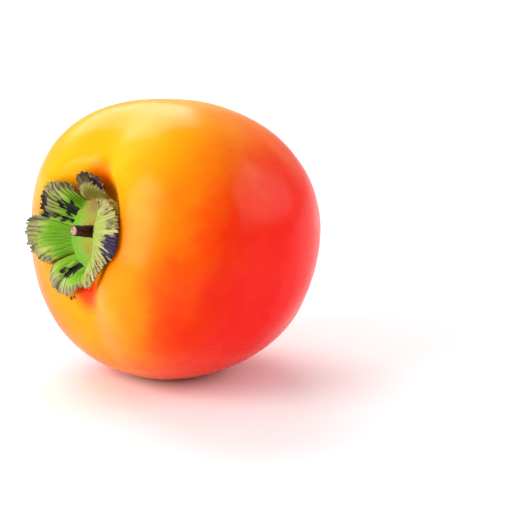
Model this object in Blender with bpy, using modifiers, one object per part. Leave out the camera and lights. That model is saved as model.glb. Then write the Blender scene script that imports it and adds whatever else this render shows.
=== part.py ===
"""A whole persimmon lying on its side: the fruit, its four-lobed calyx and a stub of stem.

Every piece is shaped in the fruit's own frame, where Z runs out of the calyx along the core,
X points to the fruit's near side and Y up across it. The empty stem_axis lays that frame down:
in the world the stem points towards -X and a little up, the fruit rests on a flat spot at
z = 0, and the origin is the bottom centre of the whole object's box.
"""

import math

import bmesh
import bpy
from mathutils import Matrix, Vector

MM = 0.001

# The fruit: half its width, and how far it reaches from its waist to each end.
RADIUS = 40.8 * MM
CALYX_HALF = 32.4 * MM
BLOSSOM_HALF = 45.3 * MM
# Exponents of the outline: 2 is an ellipse, and the calyx end has squarer shoulders.
CALYX_POWER = 2.7
BLOSSOM_POWER = 2.08
# Four soft lobes, and the two folds that run out of the calyx above and below.
LOBE_DEPTH = 0.010
SHOULDER_LOBE_DEPTH = 0.008
# Each fold: the angle round the core, its half width (both in degrees) and its depth.
FOLDS = ((90, 17, 0.030), (271, 15, 0.036))
# Uneven growth, as shares of the radius: the cosine and sine of once and twice the angle.
SHOULDER_SWELL = (0.039, 0.050, 0.038, -0.035)
WAIST_SWELL = (0.000, 0.032, 0.007, 0.023)
# The basin that the calyx sits in, narrower on the near side by twice BASIN_LEAN.
BASIN_FLOOR = 25.3 * MM
BASIN_FLOOR_RADIUS = 10.3 * MM
BASIN_RIM_RADIUS = 19.3 * MM
BASIN_LEAN = 4.7 * MM
BASIN_LEAN_ANGLE = 0.2
# The shallow dent round the dry style at the blossom end.
BLOSSOM_DENT = 0.9 * MM
BLOSSOM_DENT_RADIUS = 8.0 * MM
# How the fruit lies: the stem's rise, the turn about the core, and the depth of the flat spot.
STEM_RISE = math.radians(16.8)
CORE_TURN = math.radians(4.65)
FLAT_SPOT_DEPTH = 1.2 * MM

GAP = 0.3 * MM
CUP_RADIUS = 9.2 * MM
CUP_THICKNESS = 1.0 * MM
SEPAL_THICKNESS = 0.8 * MM
STEM_RADIUS = 1.75 * MM
STEM_TOP = 36.4 * MM
# Along the stem: the share of its length, how thick it is there, and its lean in mm.
STEM_SHAPE = (
    (0, 1.25, 0),
    (0.12, 1.05, 0),
    (0.35, 0.98, 0.1),
    (0.7, 0.88, 0.3),
    (0.95, 0.85, 0.5),
    (1, 0.8, 0.5),
)
STEM_SIDE_LEAN = 0.2
STYLE_RADIUS = 1.1 * MM
STYLE_LENGTH = 2.6 * MM

FRUIT_SEGMENTS = 64
FRUIT_RINGS = 40
SEPAL_STEPS_OUT = 8
TURNED_STEPS = 40

# Each sepal is lofted through ribs. A rib stands at an angle round the core, in degrees, and
# runs out through five points (distance from the core, height along it), in millimetres:
# foot, wall, crest, brim and tip.
SEPAL_RIBS = {
    "sepal_left": (
        (127, (9.8, 26.2), (11.0, 27.7), (12.0, 29.2), (13.4, 30.2), (14.6, 30.5)),
        (134, (9.8, 26.2), (11.3, 28.7), (13.0, 31.0), (15.3, 32.4), (17.2, 32.3)),
        (142, (9.8, 26.2), (11.2, 28.5), (13.2, 31.0), (16.8, 33.2), (19.6, 32.9)),
        (150, (9.8, 26.2), (11.6, 27.1), (14.0, 28.8), (18.0, 32.4), (21.0, 32.7)),
        (158, (9.8, 26.2), (12.0, 26.9), (14.6, 27.8), (18.5, 31.0), (21.3, 32.1)),
        (166, (9.8, 26.2), (12.0, 27.0), (15.0, 28.4), (18.5, 30.6), (20.8, 31.3)),
        (171, (9.8, 26.2), (12.0, 27.5), (15.0, 28.8), (18.5, 30.2), (20.6, 30.9)),
        (177, (9.8, 26.2), (12.4, 28.5), (16.0, 30.4), (20.0, 32.0), (23.4, 32.1)),
        (187, (9.8, 26.2), (12.4, 28.7), (16.0, 30.8), (20.4, 32.2), (24.2, 32.1)),
        (198, (9.8, 26.2), (12.4, 28.6), (16.0, 30.6), (20.0, 31.5), (23.4, 30.9)),
        (207, (9.8, 26.2), (12.2, 28.1), (15.4, 29.8), (18.8, 30.5), (21.6, 29.7)),
        (217, (9.8, 26.2), (11.8, 27.7), (14.0, 29.1), (15.8, 29.6), (17.4, 29.5)),
    ),
    "sepal_bottom": (
        (220, (9.8, 26.2), (11.9, 27.7), (14.6, 29.2), (17.0, 29.8), (18.9, 29.5)),
        (229, (9.8, 26.2), (12.2, 28.3), (15.2, 30.2), (18.2, 30.4), (20.8, 29.7)),
        (236, (9.8, 26.2), (11.8, 26.9), (14.2, 27.6), (17.6, 28.8), (21.0, 28.9)),
        (243, (9.8, 26.2), (11.8, 26.9), (14.0, 28.0), (17.4, 29.4), (20.8, 28.7)),
        (251, (9.8, 26.2), (12.0, 28.3), (14.4, 29.6), (16.9, 29.5), (19.2, 28.4)),
        (259, (9.8, 26.2), (11.8, 28.1), (13.4, 29.2), (15.0, 29.2), (16.4, 28.5)),
        (267, (9.8, 26.2), (11.0, 27.5), (12.2, 28.4), (13.4, 28.5), (14.4, 28.1)),
    ),
    "sepal_right": (
        (276, (9.8, 26.2), (10.6, 27.9), (12.0, 29.6), (13.8, 30.9), (15.6, 30.9)),
        (288, (9.8, 26.2), (9.7, 28.9), (10.2, 31.4), (12.9, 32.7), (16.1, 32.3)),
        (304, (9.8, 26.2), (9.3, 29.3), (8.6, 32.0), (12.0, 33.7), (15.5, 34.1)),
        (322, (9.8, 26.2), (8.9, 29.7), (7.0, 32.7), (10.8, 34.3), (15.0, 34.9)),
        (342, (9.8, 26.2), (8.7, 29.9), (5.6, 33.0), (10.6, 34.7), (16.0, 34.9)),
        (360, (9.8, 26.2), (8.7, 29.9), (5.2, 33.1), (10.0, 34.7), (14.4, 34.9)),
        (380, (9.8, 26.2), (8.8, 29.8), (5.6, 33.0), (9.4, 34.5), (13.4, 34.9)),
        (400, (9.8, 26.2), (9.1, 29.3), (7.0, 32.2), (9.2, 34.1), (11.9, 34.7)),
        (415, (9.8, 26.2), (9.4, 28.7), (8.6, 31.2), (9.3, 33.3), (10.5, 34.3)),
        (424, (9.8, 26.2), (9.5, 28.1), (9.4, 30.0), (9.5, 31.9), (9.8, 33.3)),
    ),
    "sepal_top": (
        (74, (9.8, 26.2), (10.3, 27.7), (10.9, 29.2), (11.8, 30.0), (12.8, 30.6)),
        (84, (9.8, 26.2), (10.6, 28.3), (11.8, 30.2), (13.4, 30.2), (14.8, 31.3)),
        (96, (9.8, 26.2), (10.8, 28.5), (12.2, 30.8), (14.0, 30.2), (15.8, 31.7)),
        (108, (9.8, 26.2), (10.9, 28.5), (12.4, 31.0), (14.4, 30.6), (16.6, 31.9)),
        (117, (9.8, 26.2), (10.8, 28.1), (12.0, 30.0), (13.8, 30.6), (15.8, 31.5)),
        (122, (9.8, 26.2), (10.4, 27.4), (11.2, 28.6), (12.2, 29.5), (13.4, 30.1)),
    ),
}


def clear_scene():
    for obj in list(bpy.data.objects):
        bpy.data.objects.remove(obj)


def make_material(name, colour, roughness):
    material = bpy.data.materials.new(name)
    material.use_nodes = True
    shader = material.node_tree.nodes["Principled BSDF"]
    shader.inputs["Base Color"].default_value = (*colour, 1)
    shader.inputs["Roughness"].default_value = roughness
    shader.inputs["Metallic"].default_value = 0.0
    return material


def skin_material():
    return make_material("waxy_skin", (0.95, 0.23, 0.01), 0.3)


def sepal_material():
    return make_material("green_sepal", (0.33, 0.47, 0.05), 0.6)


def cup_material():
    return make_material("olive_cup", (0.36, 0.31, 0.03), 0.5)


def stem_material():
    return make_material("brown_stem", (0.09, 0.03, 0.02), 0.7)


def style_material():
    return make_material("dry_style", (0.03, 0.02, 0.015), 0.8)


def smoothstep(low, high, value):
    share = min(max((value - low) / (high - low), 0), 1)
    return share * share * (3 - 2 * share)


def mix(first, second, share):
    return first + (second - first) * share


def fold_shape(phi, centre, width):
    """1 on the fold's line and fading to nothing beside it; phi is in radians."""
    away = (math.degrees(phi) - centre + 180) % 360 - 180
    return math.exp(-((away / width) ** 2))


def swell(phi, terms):
    """Uneven growth round the core, from its first and second harmonics."""
    cos_1, sin_1, cos_2, sin_2 = terms
    once = cos_1 * math.cos(phi) + sin_1 * math.sin(phi)
    return once + cos_2 * math.cos(2 * phi) + sin_2 * math.sin(2 * phi)


def skin_point(direction):
    """The point of the skin that lies in this direction from the fruit's middle."""
    along = direction.z
    across = math.hypot(direction.x, direction.y)
    phi = math.atan2(direction.y, direction.x)
    side = smoothstep(-0.35, 0.45, along)
    power = mix(BLOSSOM_POWER, CALYX_POWER, side)
    half = mix(BLOSSOM_HALF, CALYX_HALF, side)
    reach = ((abs(along) / half) ** power + (across / RADIUS) ** power) ** (-1 / power)
    off_core = smoothstep(0.1, 0.5, across)
    shoulder = smoothstep(-0.1, 0.8, along) * off_core
    waist = (1 - smoothstep(-0.5, 0.8, along)) * across
    scale = 1 - math.cos(4 * phi) * (LOBE_DEPTH + SHOULDER_LOBE_DEPTH * shoulder) * off_core
    for centre, width, depth in FOLDS:
        scale -= smoothstep(0.0, 0.75, along) * off_core * depth * fold_shape(phi, centre, width)
    scale += shoulder * swell(phi, SHOULDER_SWELL) + waist * swell(phi, WAIST_SWELL)
    radius = reach * scale * across
    height = reach * scale * along
    if along > 0:
        rim = BASIN_RIM_RADIUS - BASIN_LEAN * math.cos(phi + BASIN_LEAN_ANGLE)
        height = mix(BASIN_FLOOR, height, smoothstep(BASIN_FLOOR_RADIUS, rim, radius))
    else:
        height += BLOSSOM_DENT * (1 - smoothstep(0, BLOSSOM_DENT_RADIUS, radius))
    return Vector((radius * math.cos(phi), radius * math.sin(phi), height))


def fruit_frame():
    """The turn from the fruit's frame to the world's."""
    core = Vector((-math.cos(STEM_RISE), 0, math.sin(STEM_RISE)))
    near = Matrix.Rotation(CORE_TURN, 3, core) @ Vector((0, -1, 0))
    return Matrix((near, core.cross(near), core)).transposed()


def press_flat_spot(mesh, up):
    """Moves the lowest skin up to one plane, and returns the plane's depth below the middle."""
    lowest = min(vertex.co.dot(up) for vertex in mesh.verts)
    floor = lowest + FLAT_SPOT_DEPTH
    for vertex in mesh.verts:
        below = floor - vertex.co.dot(up)
        if below > 0:
            vertex.co += up * below
    return -floor


def new_object(name, data, material, axis, collection):
    data.materials.append(material)
    obj = bpy.data.objects.new(name, data)
    obj.parent = axis
    collection.objects.link(obj)
    return obj


def mesh_from(bm, name):
    mesh = bpy.data.meshes.new(name)
    bm.to_mesh(mesh)
    bm.free()
    mesh.shade_smooth()
    return mesh


def make_fruit_body(axis, collection, up):
    """The fruit, and how far its middle lies above the flat spot."""
    bm = bmesh.new()
    bmesh.ops.create_uvsphere(bm, u_segments=FRUIT_SEGMENTS, v_segments=FRUIT_RINGS, radius=1)
    for vertex in bm.verts:
        vertex.co = skin_point(vertex.co)
    height = press_flat_spot(bm, up)
    new_object("fruit_body", mesh_from(bm, "fruit_body"), skin_material(), axis, collection)
    return height


def make_turned(name, profile, material, axis, collection):
    """A solid of revolution about the core. The profile runs down its outer side."""
    mesh = bpy.data.meshes.new(name)
    edges = [(index, index + 1) for index in range(len(profile) - 1)]
    mesh.from_pydata([(radius, 0, height) for radius, height in profile], edges, [])
    obj = new_object(name, mesh, material, axis, collection)
    screw = obj.modifiers.new("Screw", "SCREW")
    screw.axis = "Z"
    screw.steps = TURNED_STEPS
    screw.render_steps = TURNED_STEPS
    screw.use_merge_vertices = True
    screw.merge_threshold = 0.01 * MM
    screw.use_smooth_shade = True
    return obj


def make_calyx_cup(axis, collection):
    """The shallow disc in the middle of the calyx that the stem stands on."""
    bottom = BASIN_FLOOR + GAP
    top = bottom + CUP_THICKNESS
    profile = (
        (0, top - 0.25 * MM),
        (0.6 * CUP_RADIUS, top - 0.2 * MM),
        (0.88 * CUP_RADIUS, top),
        (CUP_RADIUS, top - 0.3 * MM),
        (CUP_RADIUS, bottom + 0.2 * MM),
        (CUP_RADIUS - 0.2 * MM, bottom),
        (0, bottom),
    )
    make_turned("calyx_cup", profile, cup_material(), axis, collection)


def spline(values, position):
    """Catmull-Rom curve through evenly spaced values; position counts them from 0."""
    last = len(values) - 1
    index = min(int(position), last - 1)
    share = position - index
    before = values[max(index - 1, 0)]
    start = values[index]
    end = values[index + 1]
    after = values[min(index + 2, last)]
    linear = (end - before) * share
    square = (2 * before - 5 * start + 4 * end - after) * share**2
    cubic = (3 * start - before - 3 * end + after) * share**3
    return (2 * start + linear + square + cubic) / 2


def sepal_point(ribs, across, outward):
    """A point of a sepal's middle surface; across and outward run from 0 to 1."""
    sections = []
    for angle, *points in ribs:
        rib = [Vector((angle, radius, height)) for radius, height in points]
        sections.append(spline(rib, outward * (len(rib) - 1)))
    angle, radius, height = spline(sections, across * (len(sections) - 1))
    turn = math.radians(angle)
    return Vector((radius * math.cos(turn), radius * math.sin(turn), height)) * MM


def make_sepal(name, ribs, material, axis, collection):
    bm = bmesh.new()
    steps_across = 2 * (len(ribs) - 1)
    bmesh.ops.create_grid(bm, x_segments=steps_across, y_segments=SEPAL_STEPS_OUT, size=0.5)
    for vertex in bm.verts:
        vertex.co = sepal_point(ribs, vertex.co.x + 0.5, vertex.co.y + 0.5)
    obj = new_object(name, mesh_from(bm, name), material, axis, collection)
    solidify = obj.modifiers.new("Solidify", "SOLIDIFY")
    solidify.thickness = SEPAL_THICKNESS
    solidify.offset = 0


def make_stem_stub(axis, collection):
    """The cut stem: a slightly bent rod, thicker where it leaves the cup."""
    foot = BASIN_FLOOR + CUP_THICKNESS + 2 * GAP
    curve = bpy.data.curves.new("stem_stub", "CURVE")
    curve.dimensions = "3D"
    curve.bevel_depth = STEM_RADIUS
    curve.bevel_resolution = 4
    curve.use_fill_caps = True
    route = curve.splines.new("POLY")
    route.points.add(len(STEM_SHAPE) - 1)
    for point, (share, thickness, lean) in zip(route.points, STEM_SHAPE):
        away = lean * MM
        point.co = (-STEM_SIDE_LEAN * away, -away, mix(foot, STEM_TOP, share), 1)
        point.radius = thickness
    new_object("stem_stub", curve, stem_material(), axis, collection)


def make_style_remnant(axis, collection):
    """The dry point left by the flower, in the dent at the blossom end."""
    foot = BLOSSOM_DENT - BLOSSOM_HALF - GAP
    profile = (
        (0, foot),
        (STYLE_RADIUS, foot),
        (0.6 * STYLE_RADIUS, foot - 0.35 * STYLE_LENGTH),
        (0.25 * STYLE_RADIUS, foot - 0.9 * STYLE_LENGTH),
        (0, foot - STYLE_LENGTH),
    )
    make_turned("style_remnant", profile, style_material(), axis, collection)


def centre_on_origin(axis, collection):
    """Moves the whole object sideways, so that the origin is under its box's middle."""
    bpy.context.view_layer.update()
    graph = bpy.context.evaluated_depsgraph_get()
    corners = []
    for obj in collection.objects:
        if obj.type == "EMPTY":
            continue
        evaluated = obj.evaluated_get(graph)
        mesh = evaluated.to_mesh()
        corners += [evaluated.matrix_world @ vertex.co for vertex in mesh.vertices]
        evaluated.to_mesh_clear()
    for letter in (0, 1):
        values = [corner[letter] for corner in corners]
        axis.location[letter] -= (min(values) + max(values)) / 2


def main():
    clear_scene()
    collection = bpy.data.collections.new("persimmon")
    bpy.context.scene.collection.children.link(collection)
    axis = bpy.data.objects.new("stem_axis", None)
    axis.empty_display_size = RADIUS
    collection.objects.link(axis)
    turn = fruit_frame()
    up = turn.transposed() @ Vector((0, 0, 1))
    axis.rotation_euler = turn.to_euler()
    axis.location.z = make_fruit_body(axis, collection, up)
    make_calyx_cup(axis, collection)
    green = sepal_material()
    for name, ribs in SEPAL_RIBS.items():
        make_sepal(name, ribs, green, axis, collection)
    make_stem_stub(axis, collection)
    make_style_remnant(axis, collection)
    centre_on_origin(axis, collection)


main()
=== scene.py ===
"""The persimmon's finish: a fine skin, veined sepals and their materials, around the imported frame.

The fruit's own frame has Z out of the calyx along the core, X to the near side and Y up across
it. Shapes are worked out there, in metres, and then turned and moved to where the frame has them.
"""

import math

import bmesh
import bpy
import numpy as np
from mathutils import Matrix, Vector


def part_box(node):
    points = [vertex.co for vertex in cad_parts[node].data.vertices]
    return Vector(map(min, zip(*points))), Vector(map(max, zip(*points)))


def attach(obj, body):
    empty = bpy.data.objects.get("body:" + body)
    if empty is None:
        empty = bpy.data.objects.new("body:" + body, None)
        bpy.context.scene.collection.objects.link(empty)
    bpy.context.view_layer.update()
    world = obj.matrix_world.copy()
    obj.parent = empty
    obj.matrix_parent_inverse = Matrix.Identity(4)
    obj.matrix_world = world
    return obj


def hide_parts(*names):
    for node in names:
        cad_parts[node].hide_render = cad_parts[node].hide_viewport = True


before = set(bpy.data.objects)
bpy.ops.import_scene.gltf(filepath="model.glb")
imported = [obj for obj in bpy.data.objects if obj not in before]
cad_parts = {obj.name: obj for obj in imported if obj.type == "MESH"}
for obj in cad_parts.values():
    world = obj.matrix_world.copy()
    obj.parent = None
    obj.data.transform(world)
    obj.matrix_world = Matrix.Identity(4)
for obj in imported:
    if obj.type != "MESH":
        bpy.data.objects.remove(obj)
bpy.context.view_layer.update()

MM = 0.001

# The fruit's outline, as the CAD model has it.
RADIUS = 40.8 * MM
CALYX_HALF = 32.4 * MM
BLOSSOM_HALF = 45.3 * MM
CALYX_POWER = 2.7
BLOSSOM_POWER = 2.08
LOBE_DEPTH = 0.010
SHOULDER_LOBE_DEPTH = 0.008
FOLDS = ((90, 17, 0.030), (271, 15, 0.036))
SHOULDER_SWELL = (0.039, 0.050, 0.038, -0.035)
WAIST_SWELL = (0.000, 0.032, 0.007, 0.023)
BASIN_FLOOR = 25.3 * MM
BASIN_FLOOR_RADIUS = 10.3 * MM
BASIN_RIM_RADIUS = 19.3 * MM
BASIN_LEAN = 4.7 * MM
BASIN_LEAN_ANGLE = 0.2
BLOSSOM_DENT = 0.9 * MM
BLOSSOM_DENT_RADIUS = 8.0 * MM
STEM_RISE = math.radians(16.8)
CORE_TURN = math.radians(4.65)
FLAT_SPOT_DEPTH = 1.2 * MM

GAP = 0.3 * MM
CUP_RADIUS = 10.3 * MM
CUP_THICKNESS = 1.0 * MM
STEM_RADIUS = 1.75 * MM
STEM_TOP = 36.4 * MM

# Where each change in the outline begins and is complete, as shares along the core or off it.
HALVES_MEET = (-0.35, 0.45)
OFF_CORE = (0.1, 0.5)
SHOULDERS = (-0.1, 0.8)
WAIST = (-0.5, 0.8)
FOLDS_DEEPEN = (0.0, 0.75)

SKIN_SEGMENTS = 320
SKIN_RINGS = 200
SEPAL_STEPS_OUT = 64
SEPAL_STEPS_PER_DEGREE = 2.2

# Each sepal is lofted through ribs: an angle round the core in degrees, then five points
# (distance from the core, height along it) in millimetres, from foot to tip.
SEPAL_RIBS = {
    "sepal_left": (
        (127, (9.8, 26.2), (11.0, 27.7), (12.0, 29.2), (13.4, 30.2), (14.6, 30.5)),
        (134, (9.8, 26.2), (11.3, 28.7), (13.0, 31.0), (15.3, 32.4), (17.2, 32.3)),
        (142, (9.8, 26.2), (11.2, 28.5), (13.2, 31.0), (16.8, 33.2), (19.6, 32.9)),
        (150, (9.8, 26.2), (11.6, 27.1), (14.0, 28.8), (18.0, 32.4), (21.0, 32.7)),
        (158, (9.8, 26.2), (12.0, 26.9), (14.6, 27.8), (18.5, 31.0), (21.3, 32.1)),
        (166, (9.8, 26.2), (12.0, 27.0), (15.0, 28.4), (18.5, 30.6), (20.8, 31.3)),
        (171, (9.8, 26.2), (12.0, 27.5), (15.0, 28.8), (18.5, 30.2), (20.6, 30.9)),
        (177, (9.8, 26.2), (12.4, 28.5), (16.0, 30.4), (20.0, 32.0), (23.4, 32.1)),
        (187, (9.8, 26.2), (12.4, 28.7), (16.0, 30.8), (20.4, 32.2), (24.2, 32.1)),
        (198, (9.8, 26.2), (12.4, 28.6), (16.0, 30.6), (20.0, 31.5), (23.4, 30.9)),
        (207, (9.8, 26.2), (12.2, 28.1), (15.4, 29.8), (18.8, 30.5), (21.6, 29.7)),
        (217, (9.8, 26.2), (11.8, 27.7), (14.0, 29.1), (15.8, 29.6), (17.4, 29.5)),
    ),
    "sepal_bottom": (
        (220, (9.8, 26.2), (11.9, 27.7), (14.6, 29.2), (17.0, 29.8), (18.9, 29.5)),
        (229, (9.8, 26.2), (12.2, 28.3), (15.2, 30.2), (18.2, 30.4), (20.8, 29.7)),
        (236, (9.8, 26.2), (11.8, 26.9), (14.2, 27.6), (17.6, 28.8), (21.0, 28.9)),
        (243, (9.8, 26.2), (11.8, 26.9), (14.0, 28.0), (17.4, 29.4), (20.8, 28.7)),
        (251, (9.8, 26.2), (12.0, 28.3), (14.4, 29.6), (16.9, 29.5), (19.2, 28.4)),
        (259, (9.8, 26.2), (11.8, 28.1), (13.4, 29.2), (15.0, 29.2), (16.4, 28.5)),
        (267, (9.8, 26.2), (11.0, 27.5), (12.2, 28.4), (13.4, 28.5), (14.4, 28.1)),
    ),
    "sepal_right": (
        (276, (9.8, 26.2), (10.6, 27.9), (12.0, 29.6), (13.8, 30.9), (15.6, 30.9)),
        (288, (9.8, 26.2), (9.7, 28.9), (10.2, 31.4), (12.9, 32.7), (16.1, 32.3)),
        (304, (9.8, 26.2), (9.3, 29.3), (8.6, 32.0), (12.0, 33.7), (15.5, 34.1)),
        (322, (9.8, 26.2), (8.9, 29.7), (7.0, 32.7), (10.8, 34.3), (15.0, 34.9)),
        (342, (9.8, 26.2), (8.7, 29.9), (5.6, 33.0), (10.6, 34.7), (16.4, 34.9)),
        (360, (9.8, 26.2), (8.7, 29.9), (5.2, 33.1), (10.4, 34.7), (15.8, 34.8)),
        (380, (9.8, 26.2), (8.8, 29.8), (5.6, 33.0), (9.8, 34.5), (15.0, 34.8)),
        (400, (9.8, 26.2), (9.1, 29.3), (7.0, 32.2), (9.4, 34.1), (13.2, 34.6)),
        (415, (9.8, 26.2), (9.4, 28.7), (8.6, 31.2), (9.3, 33.3), (10.5, 34.3)),
        (424, (9.8, 26.2), (9.5, 28.1), (9.4, 30.0), (9.5, 31.9), (9.8, 33.3)),
    ),
    "sepal_top": (
        (74, (9.8, 26.2), (10.3, 27.7), (10.9, 29.2), (11.8, 30.0), (12.8, 30.6)),
        (84, (9.8, 26.2), (10.6, 28.3), (11.8, 30.2), (13.4, 30.2), (14.8, 31.3)),
        (96, (9.8, 26.2), (10.8, 28.5), (12.2, 30.8), (14.0, 30.2), (15.8, 31.7)),
        (108, (9.8, 26.2), (10.9, 28.5), (12.4, 31.0), (14.4, 30.6), (16.6, 31.9)),
        (117, (9.8, 26.2), (10.8, 28.1), (12.0, 30.0), (13.8, 30.6), (15.8, 31.5)),
        (122, (9.8, 26.2), (10.4, 27.4), (11.2, 28.6), (12.2, 29.5), (13.4, 30.1)),
    ),
}


def smoothstep(low, high, value):
    share = np.clip((value - low) / (high - low), 0, 1)
    return share * share * (3 - 2 * share)


def mix(first, second, share):
    return first + (second - first) * share


def degrees_away(angle, centre):
    """How far an angle lies from another, both in degrees."""
    return (angle - centre + 180) % 360 - 180


def swell(phi, terms):
    """How far the outline swells at each angle round the core, as a share of its radius."""
    cos_1, sin_1, cos_2, sin_2 = terms
    once = cos_1 * np.cos(phi) + sin_1 * np.sin(phi)
    return once + cos_2 * np.cos(2 * phi) + sin_2 * np.sin(2 * phi)


def skin_points(directions):
    """The skin's points that lie in these directions from the fruit's middle."""
    along = directions[:, 2]
    across = np.hypot(directions[:, 0], directions[:, 1])
    phi = np.arctan2(directions[:, 1], directions[:, 0])
    side = smoothstep(*HALVES_MEET, along)
    power = mix(BLOSSOM_POWER, CALYX_POWER, side)
    half = mix(BLOSSOM_HALF, CALYX_HALF, side)
    reach = ((np.abs(along) / half) ** power + (across / RADIUS) ** power) ** (-1 / power)
    off_core = smoothstep(*OFF_CORE, across)
    shoulder = smoothstep(*SHOULDERS, along) * off_core
    waist = (1 - smoothstep(*WAIST, along)) * across
    scale = 1 - np.cos(4 * phi) * (LOBE_DEPTH + SHOULDER_LOBE_DEPTH * shoulder) * off_core
    deepening = smoothstep(*FOLDS_DEEPEN, along)
    for centre, width, depth in FOLDS:
        away = degrees_away(np.degrees(phi), centre)
        scale -= deepening * off_core * depth * np.exp(-((away / width) ** 2))
    scale += shoulder * swell(phi, SHOULDER_SWELL) + waist * swell(phi, WAIST_SWELL)
    radius = reach * scale * across
    height = reach * scale * along
    rim = BASIN_RIM_RADIUS - BASIN_LEAN * np.cos(phi + BASIN_LEAN_ANGLE)
    basin = mix(BASIN_FLOOR, height, smoothstep(BASIN_FLOOR_RADIUS, rim, radius))
    dent = BLOSSOM_DENT * (1 - smoothstep(0, BLOSSOM_DENT_RADIUS, radius))
    height = np.where(along > 0, basin, height + dent)
    return np.stack((radius * np.cos(phi), radius * np.sin(phi), height), axis=1)


def fruit_turn():
    """The turn from the fruit's frame to the world's."""
    core = Vector((-math.cos(STEM_RISE), 0, math.sin(STEM_RISE)))
    near = Matrix.Rotation(CORE_TURN, 3, core) @ Vector((0, -1, 0))
    return Matrix((near, core.cross(near), core)).transposed()


TURN = fruit_turn()
UP = np.array(TURN.transposed() @ Vector((0, 0, 1)))


def sphere_directions():
    bm = bmesh.new()
    bmesh.ops.create_uvsphere(bm, u_segments=SKIN_SEGMENTS, v_segments=SKIN_RINGS, radius=1)
    return bm


def fruit_middle(points):
    """Where the fruit's middle lies in the world, from the CAD fruit's box."""
    low, high = (Vector(corner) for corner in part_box("fruit_body"))
    world = points @ np.array(TURN).T
    middle = (low + high) / 2 - Vector((world.min(0) + world.max(0)) / 2)
    lowest = (points @ UP).min()
    return Vector((middle.x, middle.y, -lowest - FLAT_SPOT_DEPTH))


def new_mesh(name, bm):
    mesh = bpy.data.meshes.new(name)
    bm.to_mesh(mesh)
    bm.free()
    mesh.shade_smooth()
    return mesh


def add_vectors(mesh, name, values):
    layer = mesh.attributes.new(name, "FLOAT_VECTOR", "POINT")
    layer.data.foreach_set("vector", np.asarray(values, np.float32).ravel())


def place(name, mesh, node, material):
    """Finishes a piece and has it stand for a CAD node."""
    mesh.transform(FRUIT_PLACE)
    mesh.materials.append(material)
    piece = bpy.data.objects.new(name, mesh)
    bpy.context.scene.collection.objects.link(piece)
    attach(piece, "root")
    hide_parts(node)


def ripples(points, seed, scale, count=24):
    """Smooth even noise from crossing waves, about -1 to 1; scale is the wavelength."""
    random = np.random.default_rng(seed)
    total = np.zeros(len(points))
    for _ in range(count):
        way = random.normal(size=3)
        way *= (2 * math.pi / scale) * random.uniform(0.6, 1.5) / np.linalg.norm(way)
        total += np.sin(points @ way + random.uniform(0, 2 * math.pi))
    return total / math.sqrt(count)


# ---------------------------------------------------------------- node helpers


# The colour sockets of Blender's Mix node, which share their names with its other sockets.
BLEND_FIRST = 6
BLEND_SECOND = 7
BLEND_RESULT = 2


class Shader:
    """A material's node tree with short ways to add and link nodes."""

    def __init__(self, name):
        self.material = bpy.data.materials.new(name)
        self.material.use_nodes = True
        self.tree = self.material.node_tree
        self.bsdf = self.tree.nodes["Principled BSDF"]

    def node(self, kind, inputs=(), **settings):
        node = self.tree.nodes.new(kind)
        for key, value in settings.items():
            setattr(node, key, value)
        for key, value in dict(inputs).items():
            self.put(value, node.inputs[key])
        return node

    def put(self, value, socket):
        if isinstance(value, bpy.types.NodeSocket):
            self.tree.links.new(value, socket)
        else:
            socket.default_value = value

    def attribute(self, name):
        return self.node("ShaderNodeAttribute", attribute_name=name).outputs["Vector"]

    def parts(self, vector):
        return self.node("ShaderNodeSeparateXYZ", {"Vector": vector}).outputs

    def noise(self, vector, scale, detail=2.0, roughness=0.5, distortion=0.0):
        inputs = {
            "Vector": vector,
            "Scale": scale,
            "Detail": detail,
            "Roughness": roughness,
            "Distortion": distortion,
        }
        return self.node("ShaderNodeTexNoise", inputs).outputs["Fac"]

    def distance(self, vector, centre):
        inputs = {0: vector, 1: centre}
        return self.node("ShaderNodeVectorMath", inputs, operation="DISTANCE").outputs["Value"]

    def math(self, operation, first, second=0.0):
        node = self.node("ShaderNodeMath", operation=operation)
        self.put(first, node.inputs[0])
        self.put(second, node.inputs[1])
        return node.outputs["Value"]

    def remap(self, value, low, high, new_low=0.0, new_high=1.0):
        inputs = {
            "Value": value,
            "From Min": low,
            "From Max": high,
            "To Min": new_low,
            "To Max": new_high,
        }
        node = self.node("ShaderNodeMapRange", inputs, interpolation_type="SMOOTHSTEP")
        return node.outputs["Result"]

    def ramp(self, value, stops):
        node = self.node("ShaderNodeValToRGB", {"Fac": value})
        elements = node.color_ramp.elements
        while len(elements) < len(stops):
            elements.new(0.5)
        for element, (position, colour) in zip(elements, stops):
            element.position = position
            element.color = (*colour, 1)
        return node.outputs["Color"]

    def blend(self, share, first, second):
        node = self.node("ShaderNodeMix", data_type="RGBA")
        self.put(share, node.inputs["Factor"])
        self.put(colour_value(first), node.inputs[BLEND_FIRST])
        self.put(colour_value(second), node.inputs[BLEND_SECOND])
        return node.outputs[BLEND_RESULT]

    def bump(self, height, strength, distance):
        inputs = {"Height": height, "Strength": strength, "Distance": distance}
        return self.node("ShaderNodeBump", inputs).outputs["Normal"]

    def finish(self, **inputs):
        for key, value in inputs.items():
            self.put(value, self.bsdf.inputs[key.replace("_", " ")])
        return self.material


def colour_value(value):
    return (*value, 1) if isinstance(value, tuple) and len(value) == 3 else value


# ------------------------------------------------------------------- materials

# How ripe the skin is, with painted shade mixed in: a start, and how it changes along the fruit's
# own axes. It runs from 0, yellow-orange by the calyx, to 1, deep red on the near side of the
# blossom end.
RIPE_START = 0.143
RIPE_NEAR = 0.736
# Partly painted shade: the skin is made yellower towards the top and redder below.
RIPE_AND_SHADE_ACROSS = -0.228
RIPE_CORE = -0.34
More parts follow.
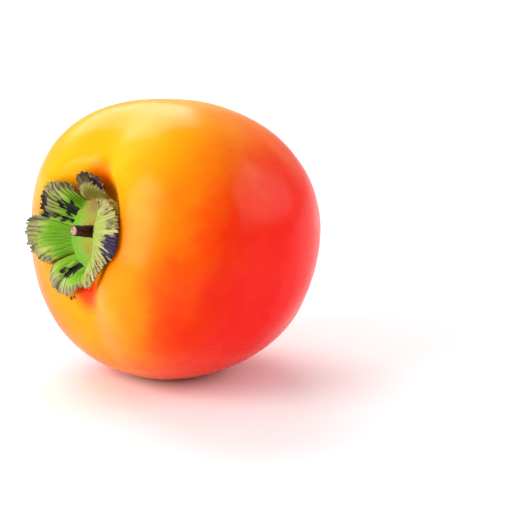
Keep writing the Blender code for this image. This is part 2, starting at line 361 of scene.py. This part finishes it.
# The side that is least ripe lies this far past the core, as a share of the fruit's radius.
FAR_SIDE = 0.08
FAR_SIDE_SOFTNESS = 0.03
SKIN_STOPS = (
    (0.0, (0.97, 0.42, 0.002)),
    (0.13, (0.97, 0.35, 0.0)),
    (0.28, (0.97, 0.27, 0.0)),
    (0.43, (0.96, 0.19, 0.0)),
    (0.57, (0.96, 0.085, 0.0)),
    (0.71, (0.95, 0.03, 0.0)),
    (0.86, (0.94, 0.008, 0.0)),
    (1.0, (0.93, 0.002, 0.0)),
)
# Painted shade: how much redder the skin is painted in the shaded basin, and in the shaded patches
# beside the calyx with their (middle, size); then where the skin is scarred: (middle, size).
BASIN_PAINTED_SHADE = 0.2
SHADE_REDDENING = 0.42
SHADE_PATCHES = (((-0.04, -0.43, 0.64), 0.11), ((0.0, 0.42, 0.68), 0.11))
SCARS = (((-0.16, -0.47, 0.66), 0.022), ((-0.2, -0.475, 0.64), 0.014))
SCAR_COLOUR = (0.03, 0.012, 0.01)
FLECK_COLOUR = (0.98, 0.42, 0.02)


def distance_off_core(s, x, y):
    squares = s.math("ADD", s.math("MULTIPLY", x, x), s.math("MULTIPLY", y, y))
    return s.math("POWER", squares, 0.5)


def ripeness_and_shade(s, where, clouds):
    """0 to 1 over the skin, partly ripeness and partly painted shade, with painted shade as redder
    patches in the basin and beside the calyx.
    """
    x, y, z = s.parts(where)[:3]
    beyond = s.math("ADD", x, FAR_SIDE)
    squares = s.math("ADD", s.math("MULTIPLY", beyond, beyond), FAR_SIDE_SOFTNESS)
    sideways = s.math("POWER", squares, 0.5)
    ripe_and_shade = s.math("MULTIPLY", sideways, RIPE_NEAR)
    ripe_and_shade = s.math("ADD", ripe_and_shade, RIPE_START - RIPE_NEAR * FAR_SIDE)
    # Partly painted shade: redder towards the bottom, yellower towards the top.
    ripe_and_shade = s.math("ADD", ripe_and_shade, s.math("MULTIPLY", y, RIPE_AND_SHADE_ACROSS))
    ripe_and_shade = s.math("ADD", ripe_and_shade, s.math("MULTIPLY", z, RIPE_CORE))
    # Painted shade: the skin is made redder in the basin round the calyx and in two patches beside
    # it, where shade falls.
    in_basin = s.remap(distance_off_core(s, x, y), 0.52, 0.36)
    shade_ring = s.math("MULTIPLY", in_basin, s.remap(z, 0.3, 0.5))
    ripe_and_shade = s.math("ADD", ripe_and_shade, s.math("MULTIPLY", shade_ring, BASIN_PAINTED_SHADE))
    for centre, size in SHADE_PATCHES:
        painted_shade = s.remap(s.distance(where, centre), 1.7 * size, 0.3 * size, 0.0, SHADE_REDDENING)
        ripe_and_shade = s.math("ADD", ripe_and_shade, painted_shade)
    return s.math("ADD", ripe_and_shade, s.remap(clouds, 0.3, 0.7, -0.06, 0.06))


def skin_material():
    """Waxy skin: yellow-orange by the calyx, ripening to red away from it and below, the red below
    partly painted shade.
    """
    s = Shader("waxy_skin")
    where = s.attribute("place")
    clouds = s.noise(where, 2.6, detail=4.0, roughness=0.6)
    colour = s.ramp(ripeness_and_shade(s, where, clouds), SKIN_STOPS)
    flecks = s.remap(s.noise(where, 60.0, detail=2.0), 0.62, 0.74, 0.0, 0.07)
    colour = s.blend(flecks, colour, FLECK_COLOUR)
    ragged = s.math("MULTIPLY", s.noise(where, 30.0, detail=3.0), 0.03)
    for centre, size in SCARS:
        away = s.math("ADD", s.distance(where, centre), ragged)
        scar = s.remap(away, 1.35 * size + 0.015, 0.9 * size + 0.012, 0.0, 0.95)
        colour = s.blend(scar, colour, SCAR_COLOUR)
    pores = s.noise(where, 110.0, detail=1.0)
    height = s.math("ADD", s.math("MULTIPLY", clouds, 0.6), s.math("MULTIPLY", pores, 0.04))
    return s.finish(
        Base_Color=colour,
        Roughness=s.remap(s.noise(where, 5.0, detail=3.0), 0.3, 0.7, 0.2, 0.3),
        Normal=s.bump(height, 0.25, 0.4 * MM),
        Specular_IOR_Level=0.11,
    )


VALLEY_COLOUR = (0.035, 0.035, 0.018)
CREST_COLOUR = (0.55, 0.42, 0.34)
MOTTLE_COLOUR = (0.12, 0.10, 0.03)


def sepal_material(name, green, pale, dry, shade):
    """Leathery tissue. The mesh carries how dry, how dark and how ribbed each point is."""
    s = Shader(name)
    dry_here, dark_here, rib = s.parts(s.attribute("look"))[:3]
    where = s.attribute("place")
    fine = s.noise(where, 22.0, detail=4.0, roughness=0.65)
    coarse = s.noise(where, 7.0, detail=3.0)
    dryness = s.math("ADD", dry_here, s.remap(coarse, 0.3, 0.7, -0.18, 0.18))
    fresh = s.blend(s.remap(dryness, 0.05, 0.45), green, pale)
    colour = s.blend(s.remap(dryness, 0.4, 0.75), fresh, dry)
    valley = s.remap(s.math("ADD", rib, s.remap(fine, 0.3, 0.7, -0.2, 0.2)), 0.5, 0.1)
    stripe = s.math("MULTIPLY", valley, s.remap(dryness, 0.15, 0.6, 0.15, 0.9))
    colour = s.blend(stripe, colour, VALLEY_COLOUR)
    crest = s.math("MULTIPLY", s.remap(rib, 0.7, 1.0), s.remap(dryness, 0.5, 0.9, 0.0, 0.5))
    colour = s.blend(crest, colour, CREST_COLOUR)
    colour = s.blend(s.remap(rib, 0.35, 0.9, 0.0, 0.55), colour, s.blend(0.5, colour, pale))
    mottled = s.blend(0.65, colour, MOTTLE_COLOUR)
    colour = s.blend(s.remap(fine, 0.5, 0.75, 0.0, 0.5), colour, mottled)
    # Dark spots; in the hollows and the fold of the left and bottom sepals they are painted shade as
    # well.
    dark = s.math("ADD", dark_here, s.remap(fine, 0.3, 0.7, -0.22, 0.22))
    colour = s.blend(s.remap(dark, 0.4, 0.62), colour, shade)
    height = s.math("ADD", s.math("MULTIPLY", fine, 0.5), s.math("MULTIPLY", rib, 0.5))
    return s.finish(
        Base_Color=colour,
        Roughness=s.remap(fine, 0.3, 0.7, 0.5, 0.75),
        Normal=s.bump(height, 0.5, 0.25 * MM),
        Specular_IOR_Level=0.3,
    )


CUP_STOPS = (
    (0.3, (0.26, 0.17, 0.01)),
    (0.5, (0.32, 0.28, 0.01)),
    (0.7, (0.30, 0.34, 0.01)),
)
CUP_GREEN = (0.17, 0.42, 0.005)
CUP_TAN = (0.32, 0.17, 0.05)


def cup_material():
    """Olive tissue that greens towards the far sepals and turns tan on the near upper side."""
    s = Shader("olive_cup")
    where = s.attribute("place")
    x, y = s.parts(where)[:2]
    colour = s.ramp(s.noise(where, 9.0, detail=3.0, distortion=0.6), CUP_STOPS)
    far = s.remap(s.math("ADD", s.math("MULTIPLY", y, 0.5), x), -0.02, -0.22)
    green = s.math("MULTIPLY", s.remap(distance_off_core(s, x, y), 0.14, 0.24), far)
    colour = s.blend(green, colour, CUP_GREEN)
    tan = s.math("MULTIPLY", s.remap(s.math("ADD", y, x), -0.02, 0.16), 0.7)
    colour = s.blend(tan, colour, CUP_TAN)
    return s.finish(
        Base_Color=colour,
        Roughness=0.5,
        Normal=s.bump(s.noise(where, 40.0, detail=3.0), 0.4, 0.2 * MM),
        Specular_IOR_Level=0.35,
    )


BARK_STOPS = (
    (0.3, (0.020, 0.004, 0.003)),
    (0.55, (0.07, 0.018, 0.010)),
    (0.8, (0.20, 0.07, 0.03)),
)
PITH_STOPS = ((0.35, (0.22, 0.07, 0.05)), (0.65, (0.70, 0.48, 0.40)))
BARK_STRETCH = (3.0, 3.0, 0.5)


def stem_material():
    """Bark with its grain along the stem, and paler pith where the mesh marks the cut."""
    s = Shader("dark_stem")
    where = s.attribute("place")
    cut = s.parts(s.attribute("look"))[0]
    inputs = {"Vector": where, "Scale": BARK_STRETCH}
    stretched = s.node("ShaderNodeMapping", inputs).outputs["Vector"]
    grain = s.noise(stretched, 28.0, detail=4.0, roughness=0.7)
    pith = s.ramp(s.noise(where, 70.0, detail=2.0), PITH_STOPS)
    colour = s.blend(s.remap(cut, 0.4, 0.6), s.ramp(grain, BARK_STOPS), pith)
    return s.finish(
        Base_Color=colour,
        Roughness=0.7,
        Normal=s.bump(grain, 0.7, 0.3 * MM),
        Specular_IOR_Level=0.25,
    )


STYLE_STOPS = ((0.3, (0.012, 0.006, 0.004)), (0.7, (0.07, 0.035, 0.02)))


def style_material():
    s = Shader("dry_style")
    grain = s.noise(s.attribute("place"), 90.0, detail=3.0)
    return s.finish(
        Base_Color=s.ramp(grain, STYLE_STOPS),
        Roughness=0.8,
        Normal=s.bump(grain, 0.6, 0.2 * MM),
    )


def floor_material():
    s = Shader("pale_floor")
    grain = s.noise(s.node("ShaderNodeTexCoord").outputs["Object"], 3.0)
    colour = s.blend(grain, (0.93, 0.93, 0.93), (0.95, 0.95, 0.95))
    return s.finish(Base_Color=colour, Roughness=0.9, Specular_IOR_Level=0.1)


# ----------------------------------------------------------------------- fruit

FLAT_EDGE_SOFTNESS = 0.4 * MM
# The skin's slight unevenness: (seed, wavelength, height).
SKIN_SWELLS = ((4, 26 * MM, 0.13 * MM), (9, 9 * MM, 0.025 * MM))


def mesh_points(bm):
    return np.array([vertex.co for vertex in bm.verts])


def soften_flat_spot(points, middle):
    """Presses the lowest skin onto the floor, with a short soft edge round the flat."""
    soft = FLAT_EDGE_SOFTNESS
    height = points @ UP + middle.z
    pressed = np.where(height < -soft, 0, (height + soft) ** 2 / (4 * soft))
    pressed = np.where(height > soft, height, pressed)
    return points + (pressed - height)[:, None] * UP


def make_fruit(points, bm, middle):
    outward = points / np.linalg.norm(points, axis=1)[:, None]
    swells = sum(ripples(points, seed, scale) * height for seed, scale, height in SKIN_SWELLS)
    points = soften_flat_spot(points + outward * swells[:, None], middle)
    for vertex, point in zip(bm.verts, points):
        vertex.co = point
    mesh = new_mesh("fruit_skin", bm)
    add_vectors(mesh, "place", points / RADIUS)
    place("fruit_skin", mesh, "fruit_body", skin_material())


# ---------------------------------------------------------------------- sepals

# The spacing of the veins, and of their forks near the margin, in degrees.
RIB_SPACING = 4.6
FORK_SPACING = 2.1
# Half of a sepal's thickness, in mm, over most of it and at its margin.
HALF_THICKNESS = 0.45
MARGIN_HALF_THICKNESS = 0.14


def spline(values, position):
    """Catmull-Rom curve through evenly spaced values, at an array of positions."""
    last = len(values) - 1
    index = np.minimum(position.astype(int), last - 1)
    share = (position - index).reshape(-1, *(1,) * (values.ndim - 1))
    before = values[np.maximum(index - 1, 0)]
    start = values[index]
    end = values[index + 1]
    after = values[np.minimum(index + 2, last)]
    linear = (end - before) * share
    square = (2 * before - 5 * start + 4 * end - after) * share**2
    cubic = (3 * start - before - 3 * end + after) * share**3
    return (2 * start + linear + square + cubic) / 2


def sepal_surface(ribs, across, outward):
    """(angle, radius, height) at every crossing of the across and outward positions."""
    rows = [[(angle, radius, height) for radius, height in points] for angle, *points in ribs]
    table = np.array(rows)
    along = spline(table.transpose(1, 0, 2), outward * (table.shape[1] - 1))
    return spline(along.transpose(1, 0, 2), across * (table.shape[0] - 1))


def turned_points(surface):
    """Cylindrical (degrees, mm, mm) to points in metres."""
    angle, radius, height = np.radians(surface[..., 0]), surface[..., 1], surface[..., 2]
    return np.stack((radius * np.cos(angle), radius * np.sin(angle), height), axis=-1) * MM


def ribbing(angle, outward, seed):
    """Fanned veins: sharp ridges that wander a little and fork towards the margin, 0 to 1."""
    shift = np.random.default_rng(seed).uniform(0, 6)
    wander = 0.6 * np.sin(angle * 0.23 + shift) + 0.3 * np.sin(outward * 5 + angle * 0.31)
    main = 0.5 + 0.5 * np.cos(2 * math.pi * angle / RIB_SPACING + wander * 3 + shift)
    fork = 0.5 + 0.5 * np.cos(2 * math.pi * angle / FORK_SPACING + wander * 5 + shift)
    forked = 0.6 * main + 0.4 * fork**1.5
    return mix(main**1.6, forked, smoothstep(0.35, 0.8, outward))


def tear_margin(surface, angle, share, seed, ragged):
    """Makes the margin uneven, outward and up, by up to ragged mm."""
    edge = share**6 * ragged
    tear = 0.45 * np.sin(angle * 0.9 + seed) + 0.3 * np.sin(angle * 2.3 + 2 * seed)
    tear += 0.15 * np.sin(angle * 5.9)
    surface[..., 1] += edge * tear
    surface[..., 2] += edge * 0.7 * np.sin(angle * 1.9 + seed)


def spot(angle, outward, centre, size):
    """A ragged oval mask in lobe coordinates; centre and size are (degrees, outward share)."""
    turn, out = (angle - centre[0]) / size[0], (outward - centre[1]) / size[1]
    ragged = 0.18 * np.sin(angle * 1.3) + 0.14 * np.sin(angle * 0.61 + outward * 17)
    ragged += 0.1 * np.sin(outward * 29)
    return 1 - smoothstep(0.55, 1.25, np.hypot(turn, out) + ragged)


def add_grid(bm, points, sign):
    """A grid of faces, turned over where sign is -1. Returns its rows of vertices."""
    grid = [[bm.verts.new(point) for point in row] for row in points]
    for row, following in zip(grid, grid[1:]):
        for j in range(len(row) - 1):
            corners = (row[j], following[j], following[j + 1], row[j + 1])
            bm.faces.new(corners[::sign])
    return grid


def border(grid):
    """The vertices round a grid's edge, in order."""
    low = [row[0] for row in grid]
    high = [row[-1] for row in grid[-2::-1]]
    return low + grid[-1][1:] + high + grid[0][-2:0:-1]


def make_sepal(name, material, seed, dry_from, spots_and_shade, vein_depth, ragged):
    """A sepal as a closed sheet: two skins of a fine grid, with a thin torn margin."""
    ribs = SEPAL_RIBS[name]
    width = ribs[-1][0] - ribs[0][0]
    across = np.linspace(0, 1, int(width * SEPAL_STEPS_PER_DEGREE))
    outward = np.linspace(0, 1, SEPAL_STEPS_OUT)
    surface = sepal_surface(ribs, across, outward)
    angle = surface[..., 0]
    share = np.broadcast_to(outward, angle.shape)
    veins = ribbing(angle, share, seed)
    tear_margin(surface, angle, share, seed, ragged)
    middle = turned_points(surface)
    normal = np.cross(np.gradient(middle, axis=0), np.gradient(middle, axis=1))
    normal /= np.linalg.norm(normal, axis=-1, keepdims=True)
    rise = vein_depth * (veins - 0.5) * smoothstep(0.05, 0.35, share)
    middle = middle + normal * rise[..., None] * MM
    thick = mix(HALF_THICKNESS, MARGIN_HALF_THICKNESS, smoothstep(0.6, 1.0, share))
    from_side = np.minimum(across, 1 - across)[:, None] * width
    thick = thick * mix(0.4, 1.0, smoothstep(0, 3, from_side))
    bm = bmesh.new()
    edges = []
    for sign in (1, -1):
        edges.append(border(add_grid(bm, middle + sign * normal * thick[..., None] * MM, sign)))
    first, second = edges
    for k in range(len(first)):
        following = (k + 1) % len(first)
        bm.faces.new((first[following], first[k], second[k], second[following]))
    bmesh.ops.recalc_face_normals(bm, faces=bm.faces)
    dark = np.zeros_like(share)
    for centre, size, strength in spots_and_shade:
        dark = np.maximum(dark, strength * spot(angle, share, centre, size))
    dryness = smoothstep(dry_from, 1.0, share)
    look = np.stack((dryness, dark, veins), axis=-1).reshape(-1, 3)
    points = mesh_points(bm)
    mesh = new_mesh(name, bm)
    add_vectors(mesh, "place", points / RADIUS)
    add_vectors(mesh, "look", np.concatenate((look, look)))
    place(name + "_leaf", mesh, name, material)


BLACK = (0.010, 0.007, 0.006)
PURPLE = (0.035, 0.022, 0.065)
WINE = (0.03, 0.008, 0.012)
# Each sepal's fresh, pale and dry colours, and the colour of its dark spots, which is also the
# painted shade in the left and bottom sepals' hollows and fold.
SEPAL_COLOURS = {
    "sepal_left": ((0.16, 0.42, 0.004), (0.36, 0.48, 0.06), (0.30, 0.25, 0.11), BLACK),
    "sepal_bottom": ((0.22, 0.50, 0.01), (0.40, 0.52, 0.10), (0.36, 0.32, 0.16), BLACK),
    "sepal_right": ((0.42, 0.50, 0.09), (0.50, 0.52, 0.14), (0.50, 0.42, 0.14), PURPLE),
    "sepal_top": ((0.28, 0.24, 0.03), (0.40, 0.36, 0.10), (0.20, 0.09, 0.04), WINE),
}
# Dark spots, and painted shade in hollows and a fold: the middle and the size, both as (degrees,
# outward share), and the strength.
SEPAL_SPOTS_AND_SHADE = {
    "sepal_left": (
        # The hollow on the upper hump: dark tissue with painted shade.
        ((152, 0.33), (13, 0.26), 1.0),
        ((163, 0.93), (7, 0.13), 1.0),
        # Painted shade along the fold between the two humps.
        ((170, 0.5), (4, 0.6), 0.58),
    ),
    # The hollow under the curl: dark tissue with painted shade.
    "sepal_bottom": (((243, 0.3), (10, 0.26), 1.0), ((238, 0.5), (7, 0.22), 1.0)),
    "sepal_right": (((346, 0.99), (17, 0.22), 1.0),),
    "sepal_top": (((88, 0.74), (16, 0.18), 1.0),),
}
# Each sepal's material, seed, where drying starts, depth of its ribs and of its tears, in mm.
SEPAL_SHAPES = {
    "sepal_left": ("bright_sepal", 3, 0.32, 0.8, 0.8),
    "sepal_bottom": ("mixed_sepal", 5, 0.5, 0.5, 0.6),
    "sepal_right": ("pale_sepal", 8, 0.6, 0.5, 0.4),
    "sepal_top": ("dried_sepal", 11, 0.35, 0.6, 0.6),
}


def make_sepals():
    for name, (material_name, seed, dry_from, vein_depth, ragged) in SEPAL_SHAPES.items():
        material = sepal_material(material_name, *SEPAL_COLOURS[name])
        make_sepal(name, material, seed, dry_from, SEPAL_SPOTS_AND_SHADE[name], vein_depth, ragged)


# --------------------------------------------------------- cup, stem and style

# From the middle of the cup out and under its rim: the share of its radius, and the height
# above its top, in mm. Above CUP_WAVE_FLOOR the surface is waved as well.
CUP_PROFILE = (
    (0.2, 0.12),
    (0.3, -0.1),
    (0.55, -0.2),
    (0.75, -0.05),
    (0.88, 0.25),
    (0.95, 0.6),
    (1.0, 0.9),
    (1.01, 0.7),
    (0.98, 0.2),
    (0.96, -0.5),
    (0.94, -1.0),
)
CUP_WAVE_FLOOR = -0.6
# Each wave on the cup: its height in mm, its crests round the cup, and its twist.
CUP_WAVES = ((0.12, 5, 3), (0.1, 37, 4))
CUP_STEPS = 288
STEM_STEPS = 48
STEM_ROWS = 60
STEM_TAPER = np.array([(0, 1.25), (0.12, 1.05), (0.35, 0.97), (0.7, 0.88), (1.0, 0.78)])
STEM_LEAN = 0.5 * MM
STEM_SIDE_LEAN = 0.2
# Each ridge of the bark: its height as a share of the radius, its crests round, its twist.
STEM_RIDGES = ((0.05, 3, 9), (0.035, 7, -5), (0.025, 2, 29))
CUT_DROP = 0.1 * MM
CUT_SLOPE = 0.12 * MM
# Across the cut end: the share of the stem's radius, and the height above the cut, in mm.
STEM_CUT = ((0.93, 0.06), (0.8, 0.02), (0.55, -0.1), (0.25, -0.16), (0.05, -0.2))
PITH_SHARE = 0.9
STYLE_STEPS = 24
STYLE_ROWS = 20
STYLE_RADIUS = 1.1 * MM
STYLE_TIP_RADIUS = 0.04 * MM
STYLE_LENGTH = 2.5 * MM
STYLE_BEND = 0.25 * MM


def turns(steps):
    """Even angles round a ring, in radians."""
    return [2 * math.pi * step / steps for step in range(steps)]


def closed_rings(name, rings, climbing=False):
    """A closed mesh through rings of as many points each, capped at both ends.

    The faces are laid the other way round where the rings climb the core, as the stem's do.
    """
    bm = bmesh.new()
    rings = [[bm.verts.new(point) for point in shade_ring] for shade_ring in rings]
    for shade_ring, beyond in zip(rings, rings[1:]):
        for k in range(len(shade_ring)):
            following = (k + 1) % len(shade_ring)
            corners = (shade_ring[k], beyond[k], beyond[following], shade_ring[following])
            if climbing:
                corners = (shade_ring[k], shade_ring[following], beyond[following], beyond[k])
            bm.faces.new(corners)
    first, last = rings[0], rings[-1]
    for cap in (last, first[::-1]) if climbing else (first, last[::-1]):
        bm.faces.new(cap)
    bmesh.ops.recalc_face_normals(bm, faces=bm.faces)
    points = mesh_points(bm)
    mesh = new_mesh(name, bm)
    add_vectors(mesh, "place", points / RADIUS)
    return mesh


def make_cup():
    """The middle of the calyx: a low dish that swells a little round the stem."""
    top = BASIN_FLOOR + GAP + CUP_THICKNESS
    rings = []
    for share, height in CUP_PROFILE:
        radius = CUP_RADIUS * share
        shade_ring = []
        for turn in turns(CUP_STEPS):
            wave = sum(rise * math.sin(n * turn + twist * share) for rise, n, twist in CUP_WAVES)
            lift = (height + wave * share * (height > CUP_WAVE_FLOOR)) * MM
            shade_ring.append((radius * math.cos(turn), radius * math.sin(turn), top + lift))
        rings.append(shade_ring)
    mesh = closed_rings("calyx_dish", rings)
    place("calyx_dish", mesh, "calyx_cup", cup_material())


def stem_ring(share, inner, sink):
    """A ring of the stem's surface, share of the way along it and inner of the way out."""
    foot = BASIN_FLOOR + CUP_THICKNESS + 2 * GAP
    scale = np.interp(share, STEM_TAPER[:, 0], STEM_TAPER[:, 1]) * inner
    lean = STEM_LEAN * share**1.5
    shade_ring = []
    for turn in turns(STEM_STEPS):
        rough = sum((rise * math.sin(n * turn + twist * share) for rise, n, twist in STEM_RIDGES), 1)
        radius = STEM_RADIUS * scale * rough
        height = mix(foot, STEM_TOP - CUT_DROP, share) + sink * MM
        height += CUT_SLOPE * share * math.sin(turn)
        x = radius * math.cos(turn) - STEM_SIDE_LEAN * lean
        shade_ring.append((x, radius * math.sin(turn) - lean, height))
    return shade_ring


def make_stem():
    """A rough rod with a swollen foot and a cut end that is paler inside its bark."""
    rings = [stem_ring(row / (STEM_ROWS - 1), 1, 0) for row in range(STEM_ROWS)]
    rings += [stem_ring(1, inner, sink) for inner, sink in STEM_CUT]
    inners = [1] * STEM_ROWS + [inner for inner, sink in STEM_CUT]
    looks = [(float(inner < PITH_SHARE), 0, 0) for inner in inners for _ in range(STEM_STEPS)]
    mesh = closed_rings("stem_rod", rings, climbing=True)
    add_vectors(mesh, "look", looks)
    place("stem_rod", mesh, "stem_stub", stem_material())


def make_style():
    """The withered style: a bent, ridged point."""
    foot = BLOSSOM_DENT - BLOSSOM_HALF - GAP
    rings = []
    for row in range(STYLE_ROWS):
        share = row / (STYLE_ROWS - 1)
        taper = (1 - share) ** 0.7 * (1 - 0.35 * math.sin(3 * share))
        scale = STYLE_RADIUS * taper + STYLE_TIP_RADIUS
        shade_ring = []
        for turn in turns(STYLE_STEPS):
            radius = scale * (1 + 0.16 * math.cos(4 * turn + share))
            x = radius * math.cos(turn) + STYLE_BEND * share**2
            shade_ring.append((x, radius * math.sin(turn), foot - STYLE_LENGTH * share))
        rings.append(shade_ring)
    mesh = closed_rings("style_point", rings)
    place("style_point", mesh, "style_remnant", style_material())


# ----------------------------------------------------------------------- stage

FLOOR_HALF_SIZE = 6
# The floor lies a hair under the fruit's flat, so that the two don't share a plane.
FLOOR_DROP = 0.05 * MM
WORLD_STRENGTH = 0.55
LIGHT_TARGET = Vector((0, 0, 0.04))
# Soft boxes: name, azimuth and elevation in degrees, distance and size in metres, radiance.
SOFT_BOXES = (
    ("left_softbox", -106, 26, 0.9, (0.5, 0.66), 6.2),
    ("right_softbox", 52, 22, 0.9, (0.6, 0.5), 2.8),
    ("back_light", 157, 42, 1.2, (1.0, 0.8), 4.0),
)
CAMERA_AZIMUTH = -43
CAMERA_ELEVATION = 15
CAMERA_DISTANCE = 0.7
CAMERA_FIELD = 146.3 * MM
SENSOR = 36
# How far right of the fruit's middle, and below it, the camera aims.
AIM_RIGHT = 25.4 * MM
AIM_DOWN = 4.1 * MM


def make_floor():
    bm = bmesh.new()
    bmesh.ops.create_grid(bm, x_segments=2, y_segments=2, size=FLOOR_HALF_SIZE)
    mesh = new_mesh("floor", bm)
    mesh.materials.append(floor_material())
    floor = bpy.data.objects.new("floor", mesh)
    floor.location.z = -FLOOR_DROP
    bpy.context.scene.collection.objects.link(floor)


def direction(azimuth, elevation):
    """Azimuth 0 is towards -Y and 90 towards +X, in degrees."""
    turn, rise = math.radians(azimuth), math.radians(elevation)
    level = math.cos(rise)
    return Vector((math.sin(turn) * level, -math.cos(turn) * level, math.sin(rise)))


def add_light(name, azimuth, elevation, distance, size, radiance):
    """A soft box that faces the fruit; radiance is how bright its face is."""
    data = bpy.data.lights.new(name, "AREA")
    data.shape = "RECTANGLE"
    data.size, data.size_y = size
    data.energy = radiance * math.pi * size[0] * size[1]
    light = bpy.data.objects.new(name, data)
    way = direction(azimuth, elevation)
    light.location = LIGHT_TARGET + way * distance
    light.rotation_euler = way.to_track_quat("Z", "Y").to_euler()
    bpy.context.scene.collection.objects.link(light)


def make_world():
    world = bpy.data.worlds.new("studio")
    world.use_nodes = True
    background = world.node_tree.nodes["Background"]
    background.inputs["Color"].default_value = (1, 1, 1, 1)
    background.inputs["Strength"].default_value = WORLD_STRENGTH
    bpy.context.scene.world = world


def make_camera(middle):
    data = bpy.data.cameras.new("camera")
    data.sensor_width = SENSOR
    data.lens = SENSOR * CAMERA_DISTANCE / CAMERA_FIELD
    data.clip_start = 0.01
    camera = bpy.data.objects.new("camera", data)
    way = direction(CAMERA_AZIMUTH, CAMERA_ELEVATION)
    turn = math.radians(CAMERA_AZIMUTH)
    right = Vector((math.cos(turn), math.sin(turn), 0))
    up = way.cross(right)
    back = way * CAMERA_DISTANCE
    aside = right * AIM_RIGHT - up * AIM_DOWN
    camera.location = middle + back
    camera.rotation_euler = (back - aside).to_track_quat("Z", "Y").to_euler()
    bpy.context.scene.collection.objects.link(camera)
    bpy.context.scene.camera = camera


sphere = sphere_directions()
skin = skin_points(mesh_points(sphere))
FRUIT_MIDDLE = fruit_middle(skin)
FRUIT_PLACE = Matrix.Translation(FRUIT_MIDDLE) @ TURN.to_4x4()
make_fruit(skin, sphere, FRUIT_MIDDLE)
make_cup()
make_sepals()
make_stem()
make_style()
make_floor()
make_world()
for soft_box in SOFT_BOXES:
    add_light(*soft_box)
make_camera(FRUIT_MIDDLE)
bpy.context.scene.view_settings.view_transform = "Standard"
